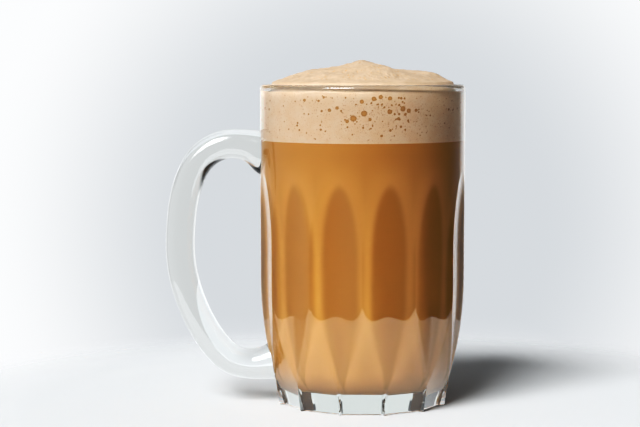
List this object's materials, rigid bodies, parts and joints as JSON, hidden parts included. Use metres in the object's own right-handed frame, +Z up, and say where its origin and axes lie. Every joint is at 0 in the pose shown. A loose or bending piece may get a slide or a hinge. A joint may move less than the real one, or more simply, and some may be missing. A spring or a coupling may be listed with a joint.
{
  "type": "glass mug of pulled milk tea",
  "caption": "Fluted pressed-glass mug with an ear handle, filled with pulled milk tea under a domed head of froth.",
  "frame": {"origin": "middle of the flat foot, on the surface that the mug stands on", "axes": "+Z up the mug's axis, -X towards the handle, -Y towards the viewer"},
  "size_m": [0.1125, 0.0768, 0.129],
  "materials": {
    "clear_glass": "gloss",
    "milk_tea": "gloss",
    "froth": "matte"
  },
  "bodies": {
    "root": {"glass_mug": "clear_glass", "milk_tea": "milk_tea", "froth_head": "froth"}
  },
  "joints": []
}
